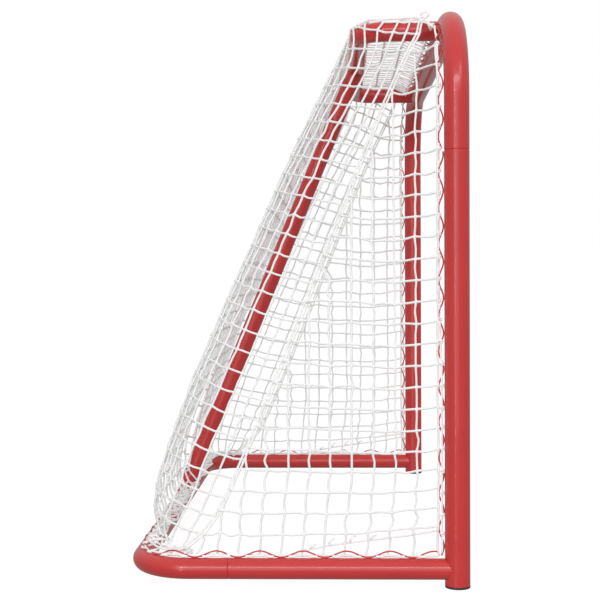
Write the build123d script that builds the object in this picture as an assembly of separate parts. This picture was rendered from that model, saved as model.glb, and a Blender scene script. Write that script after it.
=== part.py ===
from build123d import *
from math import cos, pi, sqrt
import os

# Knock-down ice hockey goal: tubular steel frame, lacing wires, ropes and net.
# Origin on the floor, at the centre of the goal's footprint.
# +X along the crossbar, +Y from the mouth to the back, +Z up. Millimetres.
# The shapes are drawn with Y = 0 on the goal line, and save() moves them to the origin.

# ---- driving dimensions ----
overall_width = 1370.0
overall_depth = 660.0
overall_height = 1120.0

post_dia = 48.0
tube_dia = 40.0
wall = 1.2
end_chamfer = 1.0

cap_rim = 4.4
cap_rim_round = 1.2
cap_plug_length = 24.0
cap_plug_wall = 2.5

top_bend_radius = 160.0
post_joint_z = 830.0
base_tube_z = 34.5
base_joint_y = 437.0
base_corner_radius = 104.0

top_frame_half_width = 446.0
top_frame_depth = 177.5
top_frame_corner_radius = 60.0

spigot_wall = 1.5
spigot_clearance = 0.1
post_spigot_length = 120.0
base_spigot_length = 90.0
end_spigot_length = 45.0

wire_dia = 3.0
wave_points = 8
weld_gap = 0.1
post_wave_pitch = 67.5
post_wave_height = 9.4
post_wave_crest_z = 112.0
base_wave_pitch = 83.0
base_wave_height = 12.1
base_wave_crest_y = 376.8
base_wire_start_gap = 12.0
wire_end_gap = 3.0
wire_split_gap = 1.0

rope_dia = 5.0
rope_gap = 0.3
seam_rope_dia = 6.0
seam_clearance = 1.5
seam_rope_points = 8

net_thickness = 3.0
net_gap = 1.0
net_base_gap = 2.5
net_foot_side = (655.0, 540.0)
net_foot_rear_x = 575.0
net_foot_overhang = 8.0
net_head_side = (468.0, 150.0)
net_head_rear_x = 420.0
net_head_gap = 2.0
net_bend_levels = [1000.0, 1040.0, 1070.0, 1090.0]
cut_overrun = 20.0

seam_foot_y = 519.0
seam_middle = (299.0, 484.0)
seam_head = (50.0, 1100.0)

# ---- derived positions ----
post_r = post_dia / 2
tube_r = tube_dia / 2
wire_r = wire_dia / 2
post_x = overall_width / 2 - post_r
crossbar_z = overall_height - post_r
rear_y = overall_depth - post_r - tube_r
footprint_centre_y = overall_depth / 2 - post_r

SIDES = {"left": -1, "right": 1}


# ---- shared shapes ----
def rod(path, radius):
    """A round bar of the given radius along a path."""
    start = Plane(origin=path @ 0, z_dir=path % 0)
    return sweep(start * Circle(radius), path=path)


def tube(path, radius, thickness=wall):
    """A round tube along a path."""
    return rod(path, radius) - rod(path, radius - thickness)


def bore_radius(radius):
    """Outside radius of a spigot that slides into a tube of this outside radius."""
    return radius - wall - spigot_clearance


def ease_ends(shape, radius, ends):
    """Chamfers a tube's outer edge at each of the given end centres."""
    rims = []
    for edge in shape.edges().filter_by(GeomType.CIRCLE):
        at_end = min((edge.arc_center - Vector(*end)).length for end in ends) < end_chamfer
        if at_end and edge.radius > radius - wall / 2:
            rims.append(edge)
    return chamfer(rims, end_chamfer)


def save(shape, node):
    export_step(Pos(0, -footprint_centre_y, 0) * shape, f"parts/{node}.step")


# ---- centre lines ----
top_hoop_line = FilletPolyline(
    (-post_x, 0, post_joint_z),
    (-post_x, 0, crossbar_z),
    (post_x, 0, crossbar_z),
    (post_x, 0, post_joint_z),
    radius=top_bend_radius,
)
rear_base_line = FilletPolyline(
    (-post_x, base_joint_y, base_tube_z),
    (-post_x, rear_y, base_tube_z),
    (post_x, rear_y, base_tube_z),
    (post_x, base_joint_y, base_tube_z),
    radius=base_corner_radius,
)
top_frame_line = FilletPolyline(
    (-top_frame_half_width, 0, crossbar_z),
    (-top_frame_half_width, top_frame_depth, crossbar_z),
    (top_frame_half_width, top_frame_depth, crossbar_z),
    (top_frame_half_width, 0, crossbar_z),
    radius=top_frame_corner_radius,
)
stay_top = Vector(0, top_frame_depth, crossbar_z)
stay_foot = Vector(0, rear_y, base_tube_z)
stay_line = Line(stay_top, stay_foot)


def cope(y, z, radius):
    """The round of a cross tube, with weld gap, that coped tube ends are cut to."""
    return rod(Line((-post_x, y, z), (post_x, y, z)), radius + weld_gap)


crossbar_bar = cope(0, crossbar_z, post_r)
rear_top_bar = cope(top_frame_depth, crossbar_z, tube_r)
rear_base_bar = cope(rear_y, base_tube_z, tube_r)


# ---- frame tubes ----
def post_line(side):
    return Line((side * post_x, 0, cap_rim), (side * post_x, 0, post_joint_z))


def base_side_line(side):
    return Line((side * post_x, 0, base_tube_z), (side * post_x, base_joint_y, base_tube_z))


def crossbar_hoop():
    """The crossbar and both top bends, one bent tube from post joint to post joint."""
    return ease_ends(tube(top_hoop_line, post_r), post_r, [top_hoop_line @ 0, top_hoop_line @ 1])


def rear_base_tube():
    """The rear of the base with both corners, one bent tube between the side joints."""
    return ease_ends(tube(rear_base_line, tube_r), tube_r, [rear_base_line @ 0, rear_base_line @ 1])


def lower_post(side):
    return ease_ends(tube(post_line(side), post_r), post_r, [post_line(side) @ 1])


def base_side_tube(side):
    """Runs back from the post, its front end coped to the post's round."""
    line = base_side_line(side)
    return ease_ends(tube(line, tube_r), tube_r, [line @ 1]) - rod(post_line(side), post_r + weld_gap)


def back_stay():
    """Straight tube in the centre plane, coped to the rear top bar and the rear base tube."""
    return tube(stay_line, tube_r) - rear_top_bar - rear_base_bar


# ---- spigots hidden inside the push-fit joints ----
def joint_spigot(centre, direction, length, radius):
    half = Vector(*direction) * (length / 2)
    line = Line(Vector(*centre) - half, Vector(*centre) + half)
    return tube(line, bore_radius(radius), spigot_wall)


def end_spigot(root, direction, bar, bar_radius):
    """A short spigot welded to a bar, over which a tube end slides."""
    line = Line(root, root + direction.normalized() * (bar_radius + end_spigot_length))
    return tube(line, bore_radius(tube_r), spigot_wall) - bar


# ---- foot cap ----
def foot_cap(side):
    """A rim as wide as the post, with a hollow plug pushed up inside it."""
    plug_r = bore_radius(post_r)
    rim = Pos(side * post_x, 0, cap_rim / 2) * Cylinder(post_r, cap_rim)
    rim = fillet(rim.edges().group_by(Axis.Z)[0], cap_rim_round)
    plug = Pos(side * post_x, 0, cap_rim + cap_plug_length / 2) * Cylinder(plug_r, cap_plug_length)
    hollow_z = cap_rim + cap_plug_length / 2
    hollow = Pos(side * post_x, 0, hollow_z) * Cylinder(plug_r - cap_plug_wall, cap_plug_length)
    return rim + (plug - hollow)


# ---- lacing wires ----
def wave_wire(line, start, end, tube_radius, normal, height, pitch, crest):
    """A wavy wire lying on a tube, between two distances along the tube's centre line.
    Its troughs lie on the tube, and it has a crest at the distance `crest`."""
    count = round((end - start) / pitch * wave_points)
    points = []
    for i in range(count + 1):
        s = start + (end - start) * i / count
        lift = height * (1 + cos(2 * pi * (s - crest) / pitch)) / 2
        on_line = line.position_at(s / line.length)
        points.append(on_line + Vector(*normal) * (tube_radius + weld_gap + wire_r + lift))
    return rod(Spline(*points), wire_r)


def post_wire(side):
    """Wire up the back of the post, from just above the base tube to the post joint."""
    line = post_line(side)
    base_top = base_tube_z + tube_r + 2 * wire_dia
    crest = post_wave_crest_z - cap_rim
    wave = [post_r, (0, 1, 0), post_wave_height, post_wave_pitch, crest]
    return wave_wire(line, base_top - cap_rim, line.length - wire_end_gap, *wave)


def corner_wire(side):
    """Wire round the back of a top bend, from the post joint to the top frame's side bar."""
    straight = crossbar_z - top_bend_radius - post_joint_z
    to_bar = post_x - top_bend_radius - top_frame_half_width - tube_r
    end = straight + top_bend_radius * pi / 2 + to_bar - wire_end_gap
    crest = post_wave_crest_z - post_joint_z
    wave = [post_r, (0, 1, 0), post_wave_height, post_wave_pitch, crest]
    wire = wave_wire(top_hoop_line, wire_end_gap, end, *wave)
    return wire if side < 0 else mirror(wire, Plane.YZ)


def crossbar_wire():
    """Wire along the back of the crossbar, between the top frame's side bars."""
    half = top_frame_half_width - tube_r - wire_end_gap
    line = Line((-half, 0, crossbar_z), (half, 0, crossbar_z))
    return wave_wire(line, 0, line.length, post_r, (0, 1, 0), post_wave_height, post_wave_pitch, half)


def base_side_wire(side):
    start = post_r + base_wire_start_gap
    wave = [tube_r, (0, 0, 1), base_wave_height, base_wave_pitch, base_wave_crest_y]
    return wave_wire(base_side_line(side), start, base_joint_y - wire_end_gap, *wave)


def rear_base_wire(side, start, end):
    """Part of the wire on the rear base tube, measured round from its left side joint."""
    crest = base_wave_crest_y - base_joint_y
    wave = [tube_r, (0, 0, 1), base_wave_height, base_wave_pitch, crest]
    wire = wave_wire(rear_base_line, start, end, *wave)
    return wire if side < 0 else mirror(wire, Plane.YZ)


wire_split = base_wave_crest_y - base_joint_y + 4.5 * base_wave_pitch
stay_side = rear_base_line.length / 2 - tube_r - wire_end_gap


# ---- ropes ----
rope_r = rope_dia / 2
rope_offset = wire_r + rope_r + rope_gap
post_rope_y = post_r + wire_dia + rope_r
base_rope_z = base_tube_z + tube_r + wire_dia + rope_r


def post_rope(side):
    """Border rope beside the wire of a post and its top bend."""
    outer_x = post_x + rope_offset
    top_z = crossbar_z + rope_offset
    end_x = top_frame_half_width + tube_r + rope_dia
    line = FilletPolyline(
        (side * outer_x, post_rope_y, base_tube_z + tube_r + 3 * rope_dia),
        (side * outer_x, post_rope_y, top_z),
        (side * end_x, post_rope_y, top_z),
        radius=top_bend_radius + rope_offset,
    )
    return rod(line, rope_r)


def crossbar_rope():
    half = top_frame_half_width - tube_r - rope_dia
    top_z = crossbar_z + rope_offset
    return rod(Line((-half, post_rope_y, top_z), (half, post_rope_y, top_z)), rope_r)


def base_rope(side):
    """Border rope beside the wire of a base side tube, a rear corner and half the rear tube."""
    outer_x = post_x + rope_offset
    outer_y = rear_y + rope_offset
    line = FilletPolyline(
        (side * outer_x, post_rope_y + 2 * rope_dia, base_rope_z),
        (side * outer_x, outer_y, base_rope_z),
        (side * (tube_r + rope_dia), outer_y, base_rope_z),
        radius=base_corner_radius + rope_offset,
    )
    return rod(line, rope_r)


# ---- net ----
# Each level of the net has, on each side, a front point behind the post and two
# points that cut off the rear corner. The panels are the shell between two lofts.
net_bottom_z = base_tube_z + tube_r + wire_dia + base_wave_height + net_base_gap
net_top_z = overall_height - net_thickness
net_front_y = post_r + wire_dia + post_wave_height + net_gap
net_foot = {"side": net_foot_side, "rear": (net_foot_rear_x, rear_y + net_foot_overhang)}
net_head = {"side": net_head_side, "rear": (net_head_rear_x, top_frame_depth + tube_r + net_head_gap)}
bend_start_z = crossbar_z - top_bend_radius
net_levels = [net_bottom_z, bend_start_z, *net_bend_levels, net_top_z]
seam_line = Spline((0, seam_foot_y, net_bottom_z), (0, *seam_middle), (0, *seam_head))


def net_front_x(z):
    """Half width of the net's front edge: up the post, then round the top bend."""
    if z <= bend_start_z:
        return post_x
    rise = min(z - bend_start_z, top_bend_radius)
    on_bend = post_x - top_bend_radius + sqrt(top_bend_radius**2 - rise**2)
    return max(on_bend, net_head["side"][0])


def net_corner(key, z):
    """Rear corner point at height z, on the straight line from foot to head."""
    t = (z - net_bottom_z) / (net_top_z - net_bottom_z)
    foot, head = net_foot[key], net_head[key]
    return foot[0] + (head[0] - foot[0]) * t, foot[1] + (head[1] - foot[1]) * t


def net_section(z, grow, front_y, section_z):
    side, rear = net_corner("side", z), net_corner("rear", z)
    half = [
        (net_front_x(z) + grow, front_y),
        (side[0] + grow, side[1] + grow / 2),
        (rear[0] + grow / 2, rear[1] + grow),
    ]
    points = half + [(-x, y) for x, y in reversed(half)]
    return make_face(Polyline([(x, y, section_z) for x, y in points], close=True))


def net_envelope(grow, front_y, top_rise, bottom_drop):
    """The net's outline through all its levels, run on straight down by `bottom_drop`."""
    sections = []
    if bottom_drop > 0:
        foot_z = net_levels[0]
        sections.append(net_section(foot_z, grow, front_y, foot_z - bottom_drop))
    for z in net_levels:
        section_z = z
        if z == net_levels[-1]:
            section_z = z + top_rise
        sections.append(net_section(z, grow, front_y, section_z))
    return loft(sections, ruled=True)


def net_shell():
    """The net as one thin shell, open at the mouth and underneath."""
    inner = net_envelope(0, net_front_y - cut_overrun, 0, cut_overrun)
    outer = net_envelope(net_thickness, net_front_y, net_thickness, 0)
    return outer - inner


def seam_prism(shift):
    """Everything between the mouth and the seam line, moved back by `shift`."""
    seam = Pos(0, shift, 0) * seam_line
    low, high = seam @ 0, seam @ 1
    mouth = Polyline([tuple(high), (0, 0, high.Z), (0, 0, low.Z), tuple(low)])
    outline = make_face(Wire([*seam.edges(), *mouth.edges()]))
    return extrude(outline, amount=overall_width, dir=(1, 0, 0), both=True)


def side_half(side):
    return Pos(side * overall_width / 2, 0, 0) * Box(overall_width, 4 * overall_depth, 4 * overall_height)


def seam_rope(side):
    """Thick rope where a side panel is sewn to the main panel."""
    points = []
    for i in range(seam_rope_points + 1):
        on_seam = seam_line @ (i / seam_rope_points)
        corner_x, corner_y = net_corner("side", on_seam.Z)
        t = (on_seam.Y - net_front_y) / (corner_y - net_front_y)
        x = net_front_x(on_seam.Z) + (corner_x - net_front_x(on_seam.Z)) * t
        points.append((side * (x + net_thickness / 2), on_seam.Y, on_seam.Z))
    return rod(Spline(*points), seam_rope_dia / 2)


# ---- write each node ----
save(crossbar_hoop(), "crossbar_hoop")
save(rear_base_tube(), "rear_base_tube")
save(tube(top_frame_line, tube_r) - crossbar_bar, "top_frame")
save(back_stay(), "back_stay")
save(crossbar_wire(), "crossbar_lacing_wire")
save(crossbar_rope(), "crossbar_rope")
stay_direction = stay_foot - stay_top
save(end_spigot(stay_top, stay_direction, rear_top_bar, tube_r), "stay_upper_spigot")
save(end_spigot(stay_foot, -stay_direction, rear_base_bar, tube_r), "stay_lower_spigot")

for name, side in SIDES.items():
    save(lower_post(side), f"{name}_lower_post")
    save(base_side_tube(side), f"{name}_base_side_tube")
    save(foot_cap(side), f"{name}_foot_cap")
    post_joint = (side * post_x, 0, post_joint_z)
    save(joint_spigot(post_joint, (0, 0, 1), post_spigot_length, post_r), f"{name}_post_spigot")
    base_joint = (side * post_x, base_joint_y, base_tube_z)
    save(joint_spigot(base_joint, (0, 1, 0), base_spigot_length, tube_r), f"{name}_base_spigot")
    bar_root = Vector(side * top_frame_half_width, 0, crossbar_z)
    save(end_spigot(bar_root, Vector(0, 1, 0), crossbar_bar, post_r), f"{name}_top_frame_spigot")
    save(post_wire(side), f"{name}_post_lacing_wire")
    save(corner_wire(side), f"{name}_corner_lacing_wire")
    save(base_side_wire(side), f"{name}_base_lacing_wire")
    corner_end = wire_split - wire_split_gap / 2
    rear_start = wire_split + wire_split_gap / 2
    save(rear_base_wire(side, wire_end_gap, corner_end), f"{name}_rear_corner_lacing_wire")
    save(rear_base_wire(side, rear_start, stay_side), f"{name}_rear_lacing_wire")
    save(post_rope(side), f"{name}_post_rope")
    save(base_rope(side), f"{name}_base_rope")

shell = net_shell()
seam_gap = seam_rope_dia / 2 + seam_clearance
side_zone = seam_prism(-seam_gap)
save(shell - seam_prism(seam_gap), "net_main")
for name, side in SIDES.items():
    save(shell & side_zone & side_half(side), f"net_side_{name}")
    save(seam_rope(side), f"{name}_seam_rope")
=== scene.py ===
import math

import bpy
import numpy as np
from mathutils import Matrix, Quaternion, Vector


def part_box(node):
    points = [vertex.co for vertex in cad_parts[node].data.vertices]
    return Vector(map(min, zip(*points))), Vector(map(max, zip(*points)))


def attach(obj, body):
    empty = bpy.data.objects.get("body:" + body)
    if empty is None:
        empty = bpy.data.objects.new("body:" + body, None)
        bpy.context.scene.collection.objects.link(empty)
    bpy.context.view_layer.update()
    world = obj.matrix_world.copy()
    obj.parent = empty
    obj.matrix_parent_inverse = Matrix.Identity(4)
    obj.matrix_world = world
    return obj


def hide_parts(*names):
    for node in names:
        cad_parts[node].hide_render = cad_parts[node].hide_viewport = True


# The looks of a tubular hockey goal: its laced cord net, ropes, paint and plastic.
# Metres. +X along the crossbar, +Y from the mouth to the back, +Z up. Cords are worked out
# with Y = 0 on the goal line, and cord_object moves them to where the frame has that line.

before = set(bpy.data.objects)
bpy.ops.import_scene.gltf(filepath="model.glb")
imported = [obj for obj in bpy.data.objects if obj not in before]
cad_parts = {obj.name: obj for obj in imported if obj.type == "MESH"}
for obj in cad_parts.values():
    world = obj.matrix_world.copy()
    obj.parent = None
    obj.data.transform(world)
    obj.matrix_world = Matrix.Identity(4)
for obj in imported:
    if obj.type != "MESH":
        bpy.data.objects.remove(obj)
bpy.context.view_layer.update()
rng = np.random.default_rng(7)

# ---- sizes from the frame ----
post_low, post_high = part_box("right_lower_post")
hoop_low, hoop_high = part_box("crossbar_hoop")
base_low, base_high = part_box("rear_base_tube")
top_low, top_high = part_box("top_frame")
stay_low, stay_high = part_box("back_stay")

LINE_Y = (post_low.y + post_high.y) / 2
POST_R = (post_high.x - post_low.x) / 2
TUBE_R = (stay_high.x - stay_low.x) / 2
POST_X = post_high.x - POST_R
CROSSBAR_Z = hoop_high.z - POST_R
BASE_Z = base_high.z - TUBE_R
REAR_Y = base_high.y - TUBE_R - LINE_Y
TOP_X = top_high.x - TUBE_R
TOP_Y = top_high.y - TUBE_R - LINE_Y

# ---- sizes that the frame does not state ----
# Centre-line radii of the tube bends.
TOP_BEND = 0.160
BASE_CORNER = 0.104
TOP_CORNER = 0.060

# Net: the side of a mesh cell, the cord, and the room that a cord keeps from a tube.
CELL = 0.0406
CORD_R = 0.0022
CORD_GAP = 0.0004

# Lacing wire on the tubes: its thickness, and the pitch and first crest of its waves.
WIRE_D = 0.003
POST_WAVE = 0.0675
POST_CREST_Z = 0.112
BASE_WAVE = 0.083
BASE_CREST_Y = 0.3768

# Border ropes. Around ROPE_TURN_Z, over the height ROPE_TURN, the post rope goes from weaving
# through the wire (above) to lying outside it (below).
ROPE_R = 0.0025
POST_ROPE_R = 0.0019
POST_ROPE_Y = POST_R + 0.0100
LOW_ROPE_Y = POST_R + 0.0055
ROPE_TURN_Z = 0.55
ROPE_TURN = 0.15
ROPE_STEP = 0.006
ROPE_END_GAP = 0.006
BASE_ROPE_START = 0.02
ROPE_LIFT = 0.0012

# Seam ropes: two strands, and the thin cord that lashes them together.
SEAM_R = 0.0021
STRAND_GAP = 0.0008
LACE_R = 0.0005
LACE_SINK = 0.6
SEAM_STEP = 0.003

TINY = 1e-12


# ---- lines ----
def along_line(points):
    """How far along the line each point is."""
    steps = np.linalg.norm(np.diff(points, axis=0), axis=1)
    return np.concatenate([[0], np.cumsum(steps)])


def point_at(line, share):
    """The point at a share of the line's length."""
    along = along_line(line)
    wanted = share * along[-1]
    return np.array([np.interp(wanted, along, line[:, k]) for k in range(3)])


def directions(line):
    """Unit tangents of the line at its points."""
    tangents = np.gradient(line, axis=0)
    return tangents / np.linalg.norm(tangents, axis=1)[:, None]


def rounded_line(points, radius, arc_steps=10):
    """Points along a line of straight runs whose corners are rounded by arcs."""
    points = [np.array(p, float) for p in points]
    line = [points[0]]
    for before, corner, after in zip(points, points[1:], points[2:]):
        to_before = (before - corner) / np.linalg.norm(before - corner)
        to_after = (after - corner) / np.linalg.norm(after - corner)
        centre = corner + (to_before + to_after) * radius
        for k in range(arc_steps + 1):
            angle = math.pi / 2 * k / arc_steps
            line.append(centre - to_after * radius * math.cos(angle) - to_before * radius * math.sin(angle))
    line.append(points[-1])
    return np.array(line)


def resample(line, spacing):
    """The line as evenly spaced points, about `spacing` apart."""
    along = along_line(line)
    count = max(2, round(along[-1] / spacing) + 1)
    wanted = np.linspace(0, along[-1], count)
    return np.stack([np.interp(wanted, along, line[:, k]) for k in range(3)], 1)


def smooth_line(knots, per_step=(0.0, 0.33, 0.66)):
    """A Catmull-Rom curve through the knots, with points at the given shares of each step."""
    knots = np.asarray(knots, float)
    padded = np.concatenate([[2 * knots[0] - knots[1]], knots, [2 * knots[-1] - knots[-2]]])
    out = []
    for p0, p1, p2, p3 in zip(padded, padded[1:], padded[2:], padded[3:]):
        for t in per_step:
            square = (2 * p0 - 5 * p1 + 4 * p2 - p3) * t**2
            cube = (3 * p1 - p0 - 3 * p2 + p3) * t**3
            out.append(0.5 * (2 * p1 + (p2 - p0) * t + square + cube))
    out.append(padded[-2])
    return np.array(out)


def level_bend(x, y, z, radius):
    """A level tube: back from the goal line, across at y and forward again."""
    return rounded_line([(-x, 0, z), (-x, y, z), (x, y, z), (x, 0, z)], radius)


HOOP = rounded_line(
    [(-POST_X, 0, 0), (-POST_X, 0, CROSSBAR_Z), (POST_X, 0, CROSSBAR_Z), (POST_X, 0, 0)], TOP_BEND
)
BASE = level_bend(POST_X, REAR_Y, BASE_Z, BASE_CORNER)
TOP_FRAME = level_bend(TOP_X, TOP_Y, CROSSBAR_Z, TOP_CORNER)
STAY = np.array([(0, TOP_Y, CROSSBAR_Z), (0, REAR_Y, BASE_Z)])


# ---- cord meshes ----
ODD_DIRECTION = (0.31, 0.53, 0.79)


def tube_rings(points, radii, sides):
    """Rings of vertices round a line, turned as little as possible from one to the next.
    No cord starts out along ODD_DIRECTION, so it can set how the first ring is turned."""
    tangents = np.gradient(points, axis=0)
    tangents /= np.linalg.norm(tangents, axis=1)[:, None] + TINY
    start = np.cross(tangents[0], ODD_DIRECTION)
    normal = start / np.linalg.norm(start)
    angles = np.arange(sides) * 2 * math.pi / sides
    rings = np.empty((len(points), sides, 3))
    for i, tangent in enumerate(tangents):
        normal = normal - tangent * np.dot(normal, tangent)
        normal /= np.linalg.norm(normal) + TINY
        other = np.cross(tangent, normal)
        rings[i] = points[i] + radii[i] * (
            np.cos(angles)[:, None] * normal + np.sin(angles)[:, None] * other
        )
    return rings


def cord_object(name, lines, sides, material):
    """One mesh of round cords. Each line is (points, radii). Its UV runs round and along the cord."""
    verts, faces, uvs = [], [], []
    base = 0
    for points, radii in lines:
        rings = tube_rings(points, radii, sides)
        count = len(points)
        verts.append(rings.reshape(-1, 3))
        along = along_line(points)
        for i in range(count - 1):
            for j in range(sides):
                k = (j + 1) % sides
                a, b = base + i * sides, base + (i + 1) * sides
                faces.append((a + j, a + k, b + k, b + j))
                u0, u1 = j / sides, (j + 1) / sides
                uvs += [(u0, along[i]), (u1, along[i]), (u1, along[i + 1]), (u0, along[i + 1])]
        last = base + (count - 1) * sides
        faces.append(tuple(base + j for j in reversed(range(sides))))
        faces.append(tuple(last + j for j in range(sides)))
        uvs += [(0, 0)] * (2 * sides)
        base += count * sides
    mesh = bpy.data.meshes.new(name)
    placed = np.concatenate(verts) + (0, LINE_Y, 0)
    mesh.from_pydata(placed.tolist(), [], faces)
    layer = mesh.uv_layers.new(name="cord")
    layer.data.foreach_set("uv", np.array(uvs, np.float32).ravel())
    mesh.polygons.foreach_set("use_smooth", np.ones(len(faces), bool))
    mesh.materials.append(material)
    piece = bpy.data.objects.new(name, mesh)
    bpy.context.scene.collection.objects.link(piece)
    return piece


# ---- net simulation ----
# Every CONTACT_STEPS steps the points within CONTACT_MARGIN of a tube's reach are found again,
# and every PUSH_OFF_PASSES passes they are pushed off it. KINK is a last random unevenness.
TIME_STEP = 1 / 90
DRAG = 0.94
CONTACT_STEPS = 10
CONTACT_MARGIN = 0.025
PUSH_OFF_PASSES = 3
SLACK_SPREAD = (0.2, 1.8)
KINK = 0.0009


class CordNet:
    """Points joined by cords that keep their length. Crossings hinge freely, as in knotless net."""

    def __init__(self):
        self.points, self.pinned, self.edges, self.rest = [], [], [], []

    def add(self, point, pinned=False):
        """A new point. Returns its number."""
        self.points.append(np.array(point, float))
        self.pinned.append(pinned)
        return len(self.points) - 1

    def at(self, chain):
        """The places of a chain's points."""
        return np.array([self.points[n] for n in chain])

    def join(self, a, b, slack):
        """A length of cord between two points, longer than the way between them by `slack`."""
        self.edges.append((a, b))
        self.rest.append(np.linalg.norm(self.points[a] - self.points[b]) * (1 + slack))

    def cord(self, chain, slack, pinned=False):
        """Joins a row of crossings, with a middle point in each cell. Returns the whole chain."""
        out = [chain[0]]
        for a, b in zip(chain, chain[1:]):
            middle = self.add((self.points[a] + self.points[b]) / 2, pinned)
            loose = slack * rng.uniform(*SLACK_SPREAD)
            self.join(a, middle, loose)
            self.join(middle, b, loose)
            out += [middle, b]
        return out

    def colours(self):
        """Edges in groups that share no point, so that each group moves at once."""
        used = [set() for _ in self.points]
        groups = {}
        for n, (a, b) in enumerate(self.edges):
            colour = 0
            while colour in used[a] or colour in used[b]:
                colour += 1
            used[a].add(colour)
            used[b].add(colour)
            groups.setdefault(colour, []).append(n)
        return [np.array(g) for g in groups.values()]

    def settle(self, steps, passes, push):
        """Lets the net hang, held off the tubes. `push` is an acceleration for each point."""
        p = np.array(self.points)
        weight = np.where(self.pinned, 0.0, 1.0)
        edges, rest = np.array(self.edges), np.array(self.rest)
        groups = [(edges[g, 0], edges[g, 1], rest[g]) for g in self.colours()]
        speed = np.zeros_like(p)
        for step in range(steps):
            if step % CONTACT_STEPS == 0:
                contacts = tube_contacts(p, weight)
            speed = (speed + push * TIME_STEP) * DRAG
            moved = p + speed * TIME_STEP * weight[:, None]
            for turn in range(passes):
                for a, b, length in groups:
                    gap = moved[b] - moved[a]
                    size = np.linalg.norm(gap, axis=1) + TINY
                    total = weight[a] + weight[b] + TINY
                    fix = gap * ((size - length) / size / total)[:, None]
                    moved[a] += fix * weight[a][:, None]
                    moved[b] -= fix * weight[b][:, None]
                if (turn + 1) % PUSH_OFF_PASSES == 0:
                    push_off_tubes(moved, contacts)
            speed = (moved - p) / TIME_STEP
            p = moved
        p += rng.normal(0, KINK, p.shape) * weight[:, None]
        self.points = list(p)


def tube_segments():
    """Every frame tube as straight lengths: start, end and the distance that cords keep."""
    starts, ends, reach = [], [], []
    for line, radius in ((HOOP, POST_R), (BASE, TUBE_R), (TOP_FRAME, TUBE_R), (STAY, TUBE_R)):
        starts.append(line[:-1])
        ends.append(line[1:])
        reach.append(np.full(len(line) - 1, radius + CORD_R + CORD_GAP))
    return np.concatenate(starts), np.concatenate(ends), np.concatenate(reach)


SEG_A, SEG_B, SEG_REACH = tube_segments()


def tube_contacts(points, weight):
    """For each straight length of tube, the free points close enough to reach it soon."""
    contacts = []
    for a, b, reach in zip(SEG_A, SEG_B, SEG_REACH):
        low = np.minimum(a, b) - reach - CONTACT_MARGIN
        high = np.maximum(a, b) + reach + CONTACT_MARGIN
        near = np.flatnonzero(((points > low) & (points < high)).all(1) & (weight > 0))
        if len(near):
            contacts.append((a, b - a, reach, near))
    return contacts


def push_off_tubes(points, contacts):
    """Moves the points that are inside a tube straight out to its surface."""
    for a, direction, reach, near in contacts:
        share = np.clip((points[near] - a) @ direction / (direction @ direction), 0, 1)
        away = points[near] - (a + share[:, None] * direction)
        size = np.linalg.norm(away, axis=1) + TINY
        inside = size < reach
        points[near[inside]] += away[inside] * ((reach - size[inside]) / size[inside])[:, None]


# ---- the net's surface before it settles ----
# Heights: over the top frame, at the lacing of the base, and at the foot of the back corners.
# FRONT_Y is where the net starts, just behind the post rope.
NET_TOP = CROSSBAR_Z + TUBE_R + CORD_R + 0.0006
LACE_Z = BASE_Z + TUBE_R + 0.0055
NET_FOOT = BASE_Z + TUBE_R + 0.030
FRONT_Y = POST_ROPE_Y + POST_ROPE_R + 0.0006

# A cord on a top bar's shoulder, 45 degrees down, is this far out from and above its centre.
SHOULDER = 0.71 * (TUBE_R + CORD_R)
HEAD_Z = CROSSBAR_Z + SHOULDER

# Plan view, as (half width, distance behind the goal line): the side and rear ends of each
# rounded back corner, at the foot and at the head. BELLY is how far a corner bulges back.
FOOT_SIDE, FOOT_REAR = (0.650, 0.520), (0.570, REAR_Y - 0.026)
HEAD_SIDE, HEAD_REAR = (TOP_X + TUBE_R + 0.004, 0.140), (0.415, TOP_Y + TUBE_R - 0.002)
BELLY = 0.030

# The seam seen from the side: the ends of its leaning line, how far it bows back near its head,
# and how far it sweeps back at its foot, over about the height SEAM_SWEEP_HEIGHT.
SEAM_FOOT_Y, SEAM_FOOT_Z = 0.480, 0.072
SEAM_HEAD_Y, SEAM_HEAD_Z = 0.050, 1.098
SEAM_BOW = 0.012
SEAM_SWEEP, SEAM_SWEEP_HEIGHT = 0.041, 0.033


def front_x(z):
    """Half width of the net's front edge: up the post, then round the top bend."""
    rise = np.clip(z - (CROSSBAR_Z - TOP_BEND), 0, TOP_BEND)
    return POST_X - TOP_BEND + math.sqrt(TOP_BEND**2 - rise**2)


def corner(foot, head, z):
    """A rear corner at height z: a straight line that bellies out, most of all low down."""
    share = (z - NET_FOOT) / (HEAD_Z - NET_FOOT)
    belly = BELLY * math.sin(math.pi * math.sqrt(min(max(share, 0), 1))) ** 2
    return foot[0] + (head[0] - foot[0]) * share, foot[1] + (head[1] - foot[1]) * share + belly


def seam_y(z):
    """The seam seen from the side: a leaning line, bowed back towards its head and swept back
    at its foot."""
    z = min(max(z, SEAM_FOOT_Z), SEAM_HEAD_Z)
    share = (z - SEAM_FOOT_Z) / (SEAM_HEAD_Z - SEAM_FOOT_Z)
    line = SEAM_FOOT_Y + (SEAM_HEAD_Y - SEAM_FOOT_Y) * share
    bow = SEAM_BOW * math.sin(math.pi * share**3)
    sweep = SEAM_SWEEP * math.exp((SEAM_FOOT_Z - z) / SEAM_SWEEP_HEIGHT)
    return line + bow + sweep


def seam_z(y):
    """The height at which the seam is y behind the goal line."""
    heights = np.linspace(SEAM_FOOT_Z, SEAM_HEAD_Z, 100)
    return float(np.interp(-y, [-seam_y(z) for z in heights], heights))


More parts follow.
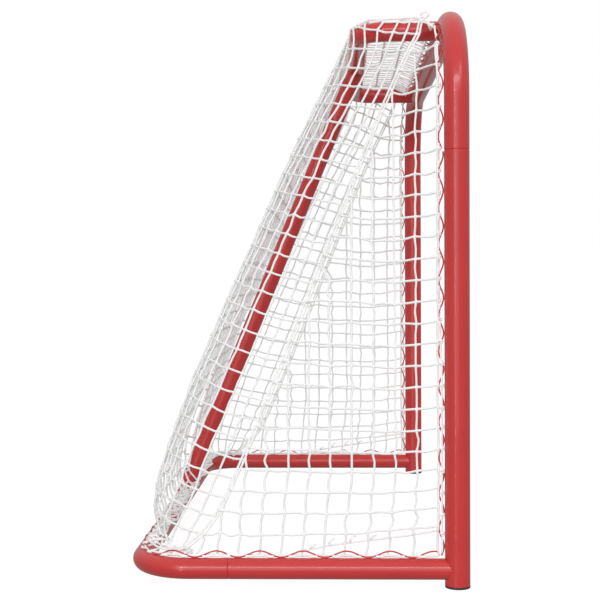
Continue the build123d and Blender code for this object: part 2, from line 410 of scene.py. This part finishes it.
def side_x(y, z):
    """Half width of the side of the net, between its front edge and the rear corner."""
    x, corner_y = corner(FOOT_SIDE, HEAD_SIDE, z)
    share = np.clip((y - FRONT_Y) / (corner_y - FRONT_Y), 0, 1)
    edge = max(front_x(min(z, CROSSBAR_Z)), x)
    return edge + (x - edge) * share


def half_section(z):
    """Left half of the main panel at height z, from the seam round the corner to the middle."""
    y = seam_y(z)
    side = corner(FOOT_SIDE, HEAD_SIDE, z)
    rear = corner(FOOT_REAR, HEAD_REAR, z)
    return np.array([(-side_x(y, z), y, z), (-side[0], side[1], z), (-rear[0], rear[1], z), (0, rear[1], z)])


# ---- main panel ----
# Columns run from the crossbar over the top and down the back; rows cross them.
HALF_COLUMNS = 18
COLUMNS = 2 * HALF_COLUMNS + 1
TOP_ROWS = 4
SLOPE_ROWS = 27
BUNCH_ROWS = 4
ROW_SLACK, COLUMN_SLACK = 0.0025, 0.0005

# Rows on the back drop by SIDE_TILT of the way forward along the sides, but not below LOWEST_Z.
# FIRST_Z is the height of the row at the crossbar, and LAST_Z that of the last row on the back.
SIDE_TILT = 0.34
LOWEST_Z = LACE_Z + 0.004
FIRST_Z = CROSSBAR_Z + 0.004
LAST_Z = NET_FOOT + 0.012

# Cords that come up the sides cross the side bar and lie folded in beside it.
FOLD_REACH = 0.012
FOLD_START = 0.01
FOLD_OUT = 0.3 * TUBE_R
TOP_FOLD = 0.022
FOLD_SPREAD = (0.1, 1)
ROW_ON_BAR = 0.3 * CELL
SHOULDER_LEAN = 0.012
SHOULDER_GAP = 0.001

# The gathered rows at the foot: how far in, up and along the base each fold lies, with the
# random spread of each. The gather flattens over the share BUNCH_FADE of its length at each end.
BUNCH_STEP = 0.01
BUNCH_OUT, BUNCH_IN = 0.014, 0.034
IN_SPREAD = (0.7, 1.2)
BUNCH_Z, BUNCH_RISE = 0.002, 0.006
RISE_SPREAD = (0.6, 1.3)
BUNCH_DRIFT = 0.010
BUNCH_FADE = 0.125


def slope_point(column, z):
    """Where a column of the main panel meets the row that crosses the back at height z.
    At the sides the row drops towards the seam, square to the leaning columns."""
    share = min(column, COLUMNS - 1 - column) / HALF_COLUMNS
    rear_y = corner(FOOT_REAR, HEAD_REAR, z)[1]
    point = point_at(half_section(z), share)
    for _ in range(3):
        lowered = max(z - SIDE_TILT * (rear_y - point[1]), LOWEST_Z)
        point = point_at(half_section(lowered), share)
    if column > HALF_COLUMNS:
        point[0] = -point[0]
    return point


def top_point(column, row):
    """Rows over the top frame. Cords that come up the side lie folded in over the side bar."""
    head = slope_point(column, HEAD_Z)
    side = -1 if column <= HALF_COLUMNS else 1
    back = TOP_Y + TUBE_R
    forward = (TOP_ROWS - row) * (back - FRONT_Y) / TOP_ROWS
    beside = back - head[1]
    if abs(head[0]) > TOP_X - FOLD_REACH and beside > FOLD_START:
        along = max(beside, forward)
        inward = min(beside, forward)
        rise = TOP_FOLD * rng.uniform(*FOLD_SPREAD) * along / (back - FRONT_Y)
        return np.array([side * (TOP_X + FOLD_OUT - inward), back - along, NET_TOP + rise])
    return np.array([head[0], back - forward, NET_TOP])


def bunch_point(column, fold):
    """Spare rows gathered in loose folds along the base tube, flatter near both seams."""
    line = base_lacing()
    share = column / (COLUMNS - 1)
    laced = point_at(line, share)
    ahead = point_at(line, min(share + BUNCH_STEP, 1)) - point_at(line, max(share - BUNCH_STEP, 0))
    inward = np.array([ahead[1], -ahead[0], 0]) / np.linalg.norm(ahead)
    spare = min(1, min(share, 1 - share) / BUNCH_FADE)
    depth = (BUNCH_IN if fold % 2 else BUNCH_OUT) * rng.uniform(*IN_SPREAD)
    rise = BUNCH_Z + BUNCH_RISE * spare * (BUNCH_ROWS - fold) * rng.uniform(*RISE_SPREAD)
    drift = ahead / np.linalg.norm(ahead) * rng.uniform(-BUNCH_DRIFT, BUNCH_DRIFT)
    return laced + inward * depth + np.array([0, 0, rise]) + drift


def base_lacing():
    """The line of the lacing on the base tubes behind both seams."""
    y = seam_y(SEAM_FOOT_Z)
    behind = BASE[(BASE[:, 1] > y) | (np.abs(BASE[:, 0]) < POST_X - 1e-6)]
    line = np.concatenate([[(-POST_X, y, BASE_Z)], behind, [(POST_X, y, BASE_Z)]])
    return line + np.array([0, 0, LACE_Z - BASE_Z])


def shoulder_row(net):
    """An extra row over the side bars, where the first row of the slope has dropped below them.
    None where the slope's first row still lies on the top of the bar."""
    chain = []
    for column in range(COLUMNS):
        x, y, z = slope_point(column, HEAD_Z)
        if z > HEAD_Z - ROW_ON_BAR:
            chain.append(None)
            continue
        side = -1 if x < 0 else 1
        point = (side * (TOP_X + SHOULDER), y - SHOULDER_LEAN, HEAD_Z + SHOULDER_GAP)
        chain.append(net.add(point, pinned=True))
    return chain


def top_row(net, row):
    """Row 0 is laced to the crossbar's rope. The others lie over the top frame."""
    chain = []
    for column in range(COLUMNS):
        point = top_point(column, row)
        if row == 0:
            point = (point[0], POST_ROPE_Y + POST_ROPE_R, FIRST_Z)
        chain.append(net.add(point, pinned=True))
    return chain


def slope_row(net, row):
    """A row across the back. Its ends are on the seams, and the first row lies on the bars."""
    z = HEAD_Z + (LAST_Z - HEAD_Z) * row / SLOPE_ROWS
    chain = []
    for column in range(COLUMNS):
        pinned = row == 0 or column in (0, COLUMNS - 1)
        chain.append(net.add(slope_point(column, z), pinned))
    return chain


def bunch_row(net, fold):
    """A gathered row. The last one is laced to the base."""
    chain = []
    for column in range(COLUMNS):
        if fold == BUNCH_ROWS:
            point = point_at(base_lacing(), column / (COLUMNS - 1))
        else:
            point = bunch_point(column, fold)
        chain.append(net.add(point, pinned=True))
    return chain


def build_main_panel(net):
    """Every row of crossings, from the crossbar to the base tube."""
    rows = [top_row(net, row) for row in range(TOP_ROWS)]
    rows.append(shoulder_row(net))
    rows += [slope_row(net, row) for row in range(SLOPE_ROWS + 1)]
    rows += [bunch_row(net, fold) for fold in range(1, BUNCH_ROWS + 1)]
    return rows


# ---- side panels ----
# Level cords rise toward the post low down, sag between their ends and crowd back from the post.
SIDE_RISE, RISE_ROWS = 0.020, 5
SIDE_SAG = 0.010
SIDE_DRIFT, DRIFT_ROWS = 0.016, 4
SHORTEST_CELL = 0.35 * CELL
SIDE_ROWS_Z = np.arange(LACE_Z, CROSSBAR_Z - CELL, CELL)


def side_hang(share, row):
    """How far a level cord is above its own height, at a share of the way back to the seam."""
    if row == 0:
        return 0
    rise = SIDE_RISE * (1 - share) * max(0, 1 - row / RISE_ROWS)
    return rise - SIDE_SAG * math.sin(math.pi * share) * (1 - row / len(SIDE_ROWS_Z)) ** 2


def build_side_panel(net, side, seam_chain):
    """Level and upright cords between the post, the base tube and the seam."""
    grid = {}
    level, upright = [], []
    for row, z in enumerate(SIDE_ROWS_Z):
        end_y = seam_y(z)
        drift = SIDE_DRIFT * max(0, 1 - row / DRIFT_ROWS)
        chain = []
        for column in range(int((end_y - FRONT_Y) / CELL) + 1):
            y = FRONT_Y + column * CELL + drift * min(column, 2) / 2
            if end_y - y < SHORTEST_CELL and column > 0:
                break
            hung = z + side_hang(column * CELL / (end_y - FRONT_Y), row)
            grid[column, row] = net.add((side * side_x(y, z), y, hung), column == 0 or row == 0)
            chain.append(grid[column, row])
        if row > 0:
            chain.append(tie_to_seam(net, (side * side_x(end_y, z), end_y, z), seam_chain))
        level.append(chain)
    for column in range(max(column for column, _ in grid) + 1):
        chain = [grid[column, row] for row in range(len(SIDE_ROWS_Z)) if (column, row) in grid]
        y = FRONT_Y + column * CELL
        z = seam_z(y)
        if column > 0 and z > NET_FOOT:
            chain.append(tie_to_seam(net, (side * side_x(y, z), y, z), seam_chain))
        if len(chain) > 1:
            upright.append(chain)
    return level, upright


def tie_to_seam(net, point, seam_chain):
    """A cord's end at the seam: a point of its own held to the nearest point of the seam rope,
    or that point itself where it is far off."""
    gaps = np.linalg.norm(net.at(seam_chain) - point, axis=1)
    closest = int(np.argmin(gaps))
    if gaps[closest] > CELL / 3:
        return seam_chain[closest]
    end = net.add(point)
    net.join(end, seam_chain[closest], 0)
    return end


# ---- the whole net ----
SETTLE_STEPS, QUICK_STEPS = 60, 20
SETTLE_PASSES = 12
MAIN_PULL, SIDE_PULL = -0.35, -0.10
BACK_PULL = (0, 0.4, 0.1)
BACK_MARGIN = 0.03
CROSSING_SWELL = 1.32


def unbroken_runs(chain):
    """The stretches of a row between its gaps."""
    runs = [[]]
    for point in chain:
        if point is None:
            runs.append([])
        else:
            runs[-1].append(point)
    return [run for run in runs if len(run) > 1]


def cord_line(points):
    """A smooth net cord through crossings and middles in turn, thicker at each crossing."""
    shares = (0.0, 0.22, 0.6)
    line = smooth_line(points, shares)
    radii = np.full(len(line), CORD_R)
    radii[:: 2 * len(shares)] *= CROSSING_SWELL
    return line, radii


def hang(points, main_count):
    """The pull on each point: down, less so on the side panels, and outwards on the back."""
    push = np.zeros((len(points), 3))
    push[:main_count, 2] = MAIN_PULL
    push[main_count:, 2] = SIDE_PULL
    start = np.array(points)
    back = (start[:, 1] > TOP_Y + BACK_MARGIN) & (start[:, 2] > NET_FOOT + BACK_MARGIN)
    push[back] += BACK_PULL
    return push


def build_net():
    """The whole net settled together: main panel, seams and both side panels."""
    net = CordNet()
    rows = build_main_panel(net)
    main_chains = [net.cord(run, ROW_SLACK) for chain in rows[1:] for run in unbroken_runs(chain)]
    main_columns = []
    for column in range(COLUMNS):
        on_seam = column in (0, COLUMNS - 1)
        chain = [row[column] for row in rows if row[column] is not None]
        main_columns.append(net.cord(chain, COLUMN_SLACK, on_seam))
    main_count = len(net.points)
    side_chains = {}
    for side, seam_chain in ((-1, main_columns[0]), (1, main_columns[-1])):
        level, upright = build_side_panel(net, side, seam_chain)
        side_chains[side] = [net.cord(chain, ROW_SLACK) for chain in level]
        side_chains[side] += [net.cord(chain, COLUMN_SLACK) for chain in upright]
    steps = SETTLE_STEPS
    net.settle(steps, SETTLE_PASSES, hang(net.points, main_count))
    return net, main_chains, main_columns, side_chains


# ---- materials ----
def new_material(name):
    """A material with its node tree's nodes, links and shader."""
    material = bpy.data.materials.new(name)
    material.use_nodes = True
    nodes = material.node_tree.nodes
    links = material.node_tree.links
    return material, nodes, links, nodes["Principled BSDF"]


def noise(nodes, scale, detail=3.0):
    """A noise texture, with `scale` waves to the metre where it follows object places."""
    node = nodes.new("ShaderNodeTexNoise")
    node.inputs["Scale"].default_value = scale
    node.inputs["Detail"].default_value = detail
    return node


def ramp(nodes, low, high, low_at=0.35, high_at=0.65):
    """A ramp from one colour to another between two values."""
    node = nodes.new("ShaderNodeValToRGB")
    node.color_ramp.elements[0].position = low_at
    node.color_ramp.elements[0].color = (*low, 1)
    node.color_ramp.elements[1].position = high_at
    node.color_ramp.elements[1].color = (*high, 1)
    return node


def powder_coat():
    """Satin red powder coat: fine orange peel, slight colour drift and varied gloss."""
    material, nodes, links, shader = new_material("red_powder_coat")
    place = nodes.new("ShaderNodeTexCoord")
    drift = noise(nodes, 9)
    links.new(place.outputs["Object"], drift.inputs["Vector"])
    colour = ramp(nodes, (0.56, 0.034, 0.035), (0.63, 0.044, 0.043), 0.2, 0.8)
    links.new(drift.outputs["Fac"], colour.inputs["Fac"])
    links.new(colour.outputs["Color"], shader.inputs["Base Color"])
    gloss = nodes.new("ShaderNodeMapRange")
    gloss.inputs["To Min"].default_value = 0.24
    gloss.inputs["To Max"].default_value = 0.28
    links.new(drift.outputs["Fac"], gloss.inputs["Value"])
    links.new(gloss.outputs["Result"], shader.inputs["Roughness"])
    peel = noise(nodes, 420, 2)
    links.new(place.outputs["Object"], peel.inputs["Vector"])
    bump = nodes.new("ShaderNodeBump")
    bump.inputs["Strength"].default_value = 0.10
    bump.inputs["Distance"].default_value = 0.0006
    links.new(peel.outputs["Fac"], bump.inputs["Height"])
    links.new(bump.outputs["Normal"], shader.inputs["Normal"])
    shader.inputs["Specular IOR Level"].default_value = 0.40
    shader.inputs["Coat Weight"].default_value = 0.25
    shader.inputs["Coat Roughness"].default_value = 0.07
    return material


def braided_cord(name, groove_shade_colour, strand_top_colour, strands, lay):
    """Braided polyester: crossing strands along the cord's own UV, with painted shade in the grooves, a soft
    sheen and a faint white glow that is painted light.
    """
    material, nodes, links, shader = new_material(name)
    uv = nodes.new("ShaderNodeUVMap")
    uv.uv_map = "cord"
    split = nodes.new("ShaderNodeSeparateXYZ")
    links.new(uv.outputs["UV"], split.inputs["Vector"])

    def wave(direction):
        turn = nodes.new("ShaderNodeMath")
        turn.operation = "MULTIPLY"
        turn.inputs[1].default_value = direction * strands * 2 * math.pi
        links.new(split.outputs["X"], turn.inputs[0])
        run = nodes.new("ShaderNodeMath")
        run.operation = "MULTIPLY_ADD"
        run.inputs[1].default_value = 2 * math.pi / lay
        links.new(split.outputs["Y"], run.inputs[0])
        links.new(turn.outputs[0], run.inputs[2])
        sine = nodes.new("ShaderNodeMath")
        sine.operation = "SINE"
        links.new(run.outputs[0], sine.inputs[0])
        return sine

    cross = nodes.new("ShaderNodeMath")
    cross.operation = "MULTIPLY"
    links.new(wave(1).outputs[0], cross.inputs[0])
    links.new(wave(-1).outputs[0], cross.inputs[1])
    # Darker where the braid lies lower: painted shade in the grooves between strands, on the same pattern as
    # the bump.
    shade = ramp(nodes, groove_shade_colour, strand_top_colour, 0.1, 0.6)
    lift = nodes.new("ShaderNodeMapRange")
    lift.inputs["From Min"].default_value = -1
    links.new(cross.outputs[0], lift.inputs["Value"])
    links.new(lift.outputs["Result"], shade.inputs["Fac"])
    links.new(shade.outputs["Color"], shader.inputs["Base Color"])
    bump = nodes.new("ShaderNodeBump")
    bump.inputs["Strength"].default_value = 0.5
    bump.inputs["Distance"].default_value = 0.0004
    links.new(lift.outputs["Result"], bump.inputs["Height"])
    links.new(bump.outputs["Normal"], shader.inputs["Normal"])
    shader.inputs["Roughness"].default_value = 0.62
    shader.inputs["Sheen Weight"].default_value = 0.25
    # A faint white emission: a painted glow that lifts the cords where they are shaded, though they are no
    # lamp.
    shader.inputs["Emission Color"].default_value = (1, 1, 1, 1)
    shader.inputs["Emission Strength"].default_value = 0.11
    return material


def black_plastic():
    """Moulded plastic with a fine, dull grain."""
    material, nodes, links, shader = new_material("black_plastic")
    place = nodes.new("ShaderNodeTexCoord")
    grain = noise(nodes, 900, 4)
    links.new(place.outputs["Object"], grain.inputs["Vector"])
    colour = ramp(nodes, (0.010, 0.010, 0.011), (0.030, 0.030, 0.032))
    links.new(grain.outputs["Fac"], colour.inputs["Fac"])
    links.new(colour.outputs["Color"], shader.inputs["Base Color"])
    bump = nodes.new("ShaderNodeBump")
    bump.inputs["Strength"].default_value = 0.25
    bump.inputs["Distance"].default_value = 0.0003
    links.new(grain.outputs["Fac"], bump.inputs["Height"])
    links.new(bump.outputs["Normal"], shader.inputs["Normal"])
    shader.inputs["Roughness"].default_value = 0.55
    return material


def zinc_plate():
    """Zinc-plated steel with a faint spangle."""
    material, nodes, links, shader = new_material("zinc_plate")
    place = nodes.new("ShaderNodeTexCoord")
    spangle = nodes.new("ShaderNodeTexVoronoi")
    spangle.inputs["Scale"].default_value = 260
    links.new(place.outputs["Object"], spangle.inputs["Vector"])
    colour = ramp(nodes, (0.50, 0.51, 0.53), (0.68, 0.69, 0.71), 0.1, 0.9)
    links.new(spangle.outputs["Distance"], colour.inputs["Fac"])
    links.new(colour.outputs["Color"], shader.inputs["Base Color"])
    shader.inputs["Metallic"].default_value = 1.0
    shader.inputs["Roughness"].default_value = 0.38
    return material


RED = powder_coat()
# The first colour of each cord is the painted shade in its grooves, the second that of the strands' tops.
CORD = braided_cord("net_cord", (0.73, 0.73, 0.74), (0.87, 0.87, 0.86), 4, 0.006)
ROPE = braided_cord("border_rope", (0.78, 0.78, 0.78), (0.93, 0.93, 0.92), 6, 0.009)
BLACK = black_plastic()
ZINC = zinc_plate()


def paint_frame():
    """Gives every CAD node its finish: plated sleeves, plastic caps, and paint on the rest."""
    for name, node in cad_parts.items():
        finish = RED
        if "foot_cap" in name:
            finish = BLACK
        if "spigot" in name:
            finish = ZINC
        node.data.materials.clear()
        node.data.materials.append(finish)


# ---- ropes ----
def weave(along, wave):
    """Side of the wire that its rope is on: inside at crests and troughs, outside on the way."""
    return 2 * np.maximum(-np.cos(4 * math.pi * along / wave), 0) ** 2 - 1


def post_rope(side):
    """Up the post and round the top bend: woven through the wire high up, and outside it, close
    to the post, low down."""
    line = HOOP[HOOP[:, 0] * side > 0]
    if side > 0:
        line = line[::-1]
    start = (side * POST_X, 0, BASE_Z + TUBE_R + 2 * ROPE_END_GAP)
    stop = (side * (TOP_X + TUBE_R + ROPE_END_GAP), 0, CROSSBAR_Z)
    line = resample(np.concatenate([[start], line[1:], [stop]]), ROPE_STEP)
    outward = np.cross(directions(line), (0, 1, 0)) * -side
    crest = POST_CREST_Z - line[0][2]
    low = np.clip((ROPE_TURN_Z - line[:, 2]) / ROPE_TURN, 0, 1)
    side_of_wire = (1 - low) * weave(along_line(line) - crest, POST_WAVE) + low
    sway = (WIRE_D / 2 + POST_ROPE_R) * side_of_wire
    points = line + outward * sway[:, None]
    points[:, 1] += POST_ROPE_Y + (LOW_ROPE_Y - POST_ROPE_Y) * low
    return points, np.full(len(points), POST_ROPE_R)


def crossbar_rope():
    """Woven through the wire along the crossbar, between the ends of the top frame."""
    half = TOP_X - TUBE_R - ROPE_END_GAP
    line = resample(np.array([(-half, 0, CROSSBAR_Z), (half, 0, CROSSBAR_Z)]), ROPE_STEP)
    crest = half + WIRE_D
    sway = (WIRE_D / 2 + POST_ROPE_R) * weave(line[:, 0] - crest, POST_WAVE)
    line[:, 1] += POST_ROPE_Y
    line[:, 2] += sway
    return line, np.full(len(line), POST_ROPE_R)


def base_rope(side):
    """Woven through the wire on the base side tube, round the corner and on to the stay."""
    line = BASE[BASE[:, 0] * side > 0]
    if side > 0:
        line = line[::-1]
    start = (side * POST_X, POST_R + BASE_ROPE_START, BASE_Z)
    stop = (side * (TUBE_R + ROPE_END_GAP), REAR_Y, BASE_Z)
    line = resample(np.concatenate([[start], line[1:], [stop]]), ROPE_STEP)
    outward = np.cross(directions(line), (0, 0, 1)) * side
    crest = BASE_CREST_Y - line[0][1]
    sway = (WIRE_D / 2 + ROPE_R) * weave(along_line(line) - crest, BASE_WAVE)
    points = line + outward * sway[:, None]
    points[:, 2] += TUBE_R + ROPE_R + ROPE_LIFT
    return points, np.full(len(points), ROPE_R)


def seam_lines(points):
    """The seam: two strands side by side, lashed together by a thin cord."""
    fine = resample(smooth_line(points), SEAM_STEP)
    tangent = directions(fine)
    flat = np.cross(tangent, (1, 0, 0))
    flat /= np.linalg.norm(flat, axis=1)[:, None]
    out = np.cross(tangent, flat)
    apart = SEAM_R + STRAND_GAP
    strands = [(fine + flat * apart * way, np.full(len(fine), SEAM_R)) for way in (-1, 1)]
    angle = 2 * math.pi * along_line(fine) / (2 * CELL)
    lashing = fine + (2 * SEAM_R + LACE_R) * np.cos(angle)[:, None] * flat
    lashing += (SEAM_R + LACE_R * LACE_SINK) * np.sin(angle)[:, None] * out
    return strands + [(lashing, np.full(len(lashing), LACE_R))]


def nearest(values, wanted):
    """The index of the value closest to the wanted one."""
    return int(np.argmin(np.abs(values - wanted)))


# ---- loose ends of the net ----
# The hem over the side bar: where its knots are along it, its rise, its sideways wander, and
# the open loop at its front, HEM_LOOP_Y long and HEM_LOOP_Z high each way from its centre.
HEM_R = CORD_R * 0.9
HEM_KNOTS = (0.12, 0.3, 0.55, 0.8, 1)
HEM_START_Y, HEM_START_Z = 0.002, 0.006
HEM_LIFT, HEM_RISE = 0.001, 0.005
HEM_WANDER, HEM_WAVES = 0.002, 9
HEM_LOOP_X, HEM_LOOP_Y, HEM_LOOP_Z = 0.006, 0.008, 0.005
HEM_LOOP_BACK = 0.010

# The cords that fan out from the seam's head, where they end, and how they bow on the way.
FAN, FAN_R = 5, 0.0015
FAN_START, FAN_STEP = 0.008, 0.022
FAN_BOW_X, FAN_BOW_Z = 0.004, 0.002

# The side panel's lower edge as (distance behind the goal line, height), then its snagged
# loops as (distance, rise), each SNAG_X wide and SNAG_Y long each way.
SELVEDGE = [(0.295, 0.067), (0.24, 0.078), (0.16, 0.089), (0.09, 0.098), (FRONT_Y, 0.108)]
SELVEDGE_INSET = 0.004
SELVEDGE_STEP = 0.004
SNAGS = [(0.277, 0.007), (0.238, 0.012), (0.198, 0.011), (0.159, 0.008)]
SNAG_X, SNAG_Y = 0.003, 0.005
SNAG_R = CORD_R * 0.8

# Hitches on the post rope.
HITCH_R = CORD_R * 0.75
HITCH_REACH = POST_ROPE_R + CORD_R * 0.8
HITCH_ACROSS = (0.2, 0.9, 0.4)
HITCH_ANGLE = 3 * math.pi
HITCH_LENGTH = 0.006


def seam_head(points):
    """Where the seam, followed up from its foot, first comes over the side bar."""
    return next(point for point in reversed(points) if point[2] > CROSSBAR_Z + SHOULDER / 2)


def top_hem(side, head):
    """The slack upper edge of the side panel: a cord standing up along the side bar, with an
    open loop at its front end."""
    length = TOP_Y - head[1]
    knots = [(side * TOP_X, TOP_Y - HEM_START_Y, NET_TOP - HEM_START_Z)]
    for share in HEM_KNOTS:
        wander = HEM_WANDER * math.sin(HEM_WAVES * share)
        rise = HEM_LIFT + HEM_RISE * share
        knots.append((side * (TOP_X + wander), TOP_Y - length * share, NET_TOP + rise))
    x, y, z = knots[-1]
    for angle in np.linspace(-0.5 * math.pi, 1.35 * math.pi, 9):
        loop_x = x + side * HEM_LOOP_X * math.sin(angle / 2)
        loop_y = y - HEM_LOOP_BACK + HEM_LOOP_Y * math.cos(angle)
        loop_z = z + HEM_LOOP_Z + HEM_LOOP_Z * math.sin(angle)
        knots.append((loop_x, loop_y, loop_z))
    line = smooth_line(knots + [head])
    return line, np.full(len(line), HEM_R)


def corner_lashing(side, head, rope_points):
    """Thin cords that fan out from the head of the seam to the rope round the top bend."""
    lines = []
    for k in range(FAN):
        x = side * (TOP_X + TUBE_R + FAN_START + FAN_STEP * k)
        end = rope_points[nearest(rope_points[:, 0], x)]
        middle = (head + end) / 2 + np.array([side * FAN_BOW_X, 0, FAN_BOW_Z * (FAN - k)])
        line = smooth_line([head, middle, end])
        lines.append((line, np.full(len(line), FAN_R)))
    return lines


def selvedge(side):
    """The side panel's slack lower edge: a cord rising to the post, with a few snagged loops."""
    knots = [(side * (side_x(y, z) - SELVEDGE_INSET), y, z) for y, z in SELVEDGE]
    edge = resample(smooth_line(knots, (0.0, 0.5)), SELVEDGE_STEP)
    lines = [(edge, np.full(len(edge), CORD_R))]
    turn = np.linspace(0, 2 * math.pi, 13)
    for y, rise in SNAGS:
        across = side * SNAG_X * np.sin(turn)
        along = SNAG_Y * np.sin(1.5 * turn)
        up = rise * (1 - np.cos(turn)) / 2
        loop = edge[nearest(edge[:, 1], y)] + np.stack([across, along, up], 1)
        lines.append((loop, np.full(len(loop), SNAG_R)))
    return lines


def hitch(place, direction):
    """A turn and a half of cord round a rope, where a net cord is tied to it."""
    direction = direction / np.linalg.norm(direction)
    first = np.cross(direction, HITCH_ACROSS)
    first /= np.linalg.norm(first)
    second = np.cross(direction, first)
    turn = np.linspace(0, HITCH_ANGLE, 16)[:, None]
    points = place + HITCH_REACH * (np.cos(turn) * first + np.sin(turn) * second)
    points = points + direction * (turn / HITCH_ANGLE - 0.5) * HITCH_LENGTH
    return points, np.full(len(points), HITCH_R)


def post_hitches(rope_points):
    """A hitch on the post rope at each free level cord of the side panel."""
    lines = []
    for z in SIDE_ROWS_Z[1:]:
        i = nearest(rope_points[:, 2], z)
        i = min(max(i, 1), len(rope_points) - 2)
        lines.append(hitch(rope_points[i], rope_points[i + 1] - rope_points[i - 1]))
    return lines


# ---- soft pieces ----
NET_SIDES, SEAM_SIDES, ROPE_SIDES = 6, 8, 10


def dress(piece, node):
    """Makes a piece ride with the goal, with its finish, in place of a CAD node."""
    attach(piece, "root")
    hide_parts(node)


def build_soft_pieces():
    """The net, its seams and the border ropes, in place of their CAD solids."""
    net, main_chains, main_columns, side_chains = build_net()
    lines = [cord_line(net.at(chain)) for chain in main_chains + main_columns[1:-1]]
    dress(cord_object("net_main_cords", lines, NET_SIDES, CORD), "net_main")
    for side, name, seam_chain in ((-1, "left", main_columns[0]), (1, "right", main_columns[-1])):
        lines = [cord_line(net.at(chain)) for chain in side_chains[side]] + selvedge(side)
        piece = cord_object(f"net_side_{name}_cords", lines, NET_SIDES, CORD)
        dress(piece, f"net_side_{name}")
        rope = post_rope(side)
        seam = net.at(seam_chain)
        head = seam_head(seam)
        lines = seam_lines(seam) + corner_lashing(side, head, rope[0]) + [top_hem(side, head)]
        piece = cord_object(f"{name}_seam_rope_laced", lines, SEAM_SIDES, ROPE)
        dress(piece, f"{name}_seam_rope")
        lines = [rope] + post_hitches(rope[0])
        piece = cord_object(f"{name}_post_rope_woven", lines, ROPE_SIDES, ROPE)
        dress(piece, f"{name}_post_rope")
        piece = cord_object(f"{name}_base_rope_woven", [base_rope(side)], ROPE_SIDES, ROPE)
        dress(piece, f"{name}_base_rope")
    piece = cord_object("crossbar_rope_woven", [crossbar_rope()], ROPE_SIDES, ROPE)
    dress(piece, "crossbar_rope")


# ---- room, light and camera ----
FLOOR_HALF = 40.0


def build_stage():
    """A wide, pale floor that gives no light back onto the goal."""
    mesh = bpy.data.meshes.new("floor")
    signs = ((-1, -1), (1, -1), (1, 1), (-1, 1))
    corners = [(x * FLOOR_HALF, y * FLOOR_HALF, 0) for x, y in signs]
    mesh.from_pydata(corners, [], [(0, 1, 2, 3)])
    floor = bpy.data.objects.new("floor", mesh)
    bpy.context.scene.collection.objects.link(floor)
    material, nodes, links, shader = new_material("pale_floor")
    shader.inputs["Base Color"].default_value = (0.16, 0.16, 0.16, 1)
    shader.inputs["Roughness"].default_value = 1.0
    shader.inputs["Specular IOR Level"].default_value = 0.0
    shader.inputs["Emission Color"].default_value = (1, 1, 1, 1)
    shader.inputs["Emission Strength"].default_value = 0.92
    floor.visible_diffuse = False
    floor.visible_glossy = False
    mesh.materials.append(material)


def area_light(name, place, target, size, power):
    """A rectangular lamp that faces its target."""
    light = bpy.data.lights.new(name, "AREA")
    light.shape = "RECTANGLE"
    light.size, light.size_y = size
    light.energy = power
    lamp = bpy.data.objects.new(name, light)
    lamp.location = place
    lamp.rotation_euler = (Vector(target) - Vector(place)).to_track_quat("-Z", "Y").to_euler()
    bpy.context.scene.collection.objects.link(lamp)


def build_light():
    """A bright sky over a dim ground for the object, and plain white behind it."""
    world = bpy.data.worlds.new("studio")
    world.use_nodes = True
    nodes, links = world.node_tree.nodes, world.node_tree.links
    shader = nodes["Background"]
    shader.inputs["Color"].default_value = (1, 1, 1, 1)
    place = nodes.new("ShaderNodeTexCoord")
    split = nodes.new("ShaderNodeSeparateXYZ")
    links.new(place.outputs["Generated"], split.inputs["Vector"])
    sky = nodes.new("ShaderNodeMapRange")
    sky.inputs["From Min"].default_value = -0.15
    sky.inputs["From Max"].default_value = 0.70
    sky.inputs["To Min"].default_value = 0.34
    sky.inputs["To Max"].default_value = 0.72
    links.new(split.outputs["Z"], sky.inputs["Value"])
    path = nodes.new("ShaderNodeLightPath")
    pick = nodes.new("ShaderNodeMix")
    pick.inputs["B"].default_value = 1.0
    links.new(path.outputs["Is Camera Ray"], pick.inputs["Factor"])
    links.new(sky.outputs["Result"], pick.inputs["A"])
    links.new(pick.outputs["Result"], shader.inputs["Strength"])
    bpy.context.scene.world = world
    centre = (0, 0, 0.55)
    area_light("key", (-17, -12.6, 14.2), centre, (6.0, 6.0), 460)
    area_light("fill", (-22, 3.9, 4.9), centre, (16, 16), 960)
    area_light("high_strip", (-19, 0, 9.4), centre, (21, 3.0), 1100)
    area_light("tall_strip", (-15.3, 5.6, 1.6), centre, (0.42, 13), 290)
    bpy.context.scene.view_settings.view_transform = "Standard"


def build_camera():
    """Level with the middle of the goal, beside its left post, with a slight tilt to the view."""
    camera = bpy.data.cameras.new("camera")
    camera.sensor_width = 36
    camera.lens = 72
    holder = bpy.data.objects.new("camera", camera)
    holder.location = (-2.939, LINE_Y + 0.2265, 0.595)
    look = Vector((1, 0.0311, -0.0209))
    roll = Quaternion((0, 0, 1), -0.005)
    holder.rotation_euler = (look.to_track_quat("-Z", "Y") @ roll).to_euler()
    bpy.context.scene.collection.objects.link(holder)
    bpy.context.scene.camera = holder


paint_frame()
build_soft_pieces()
build_stage()
build_light()
build_camera()
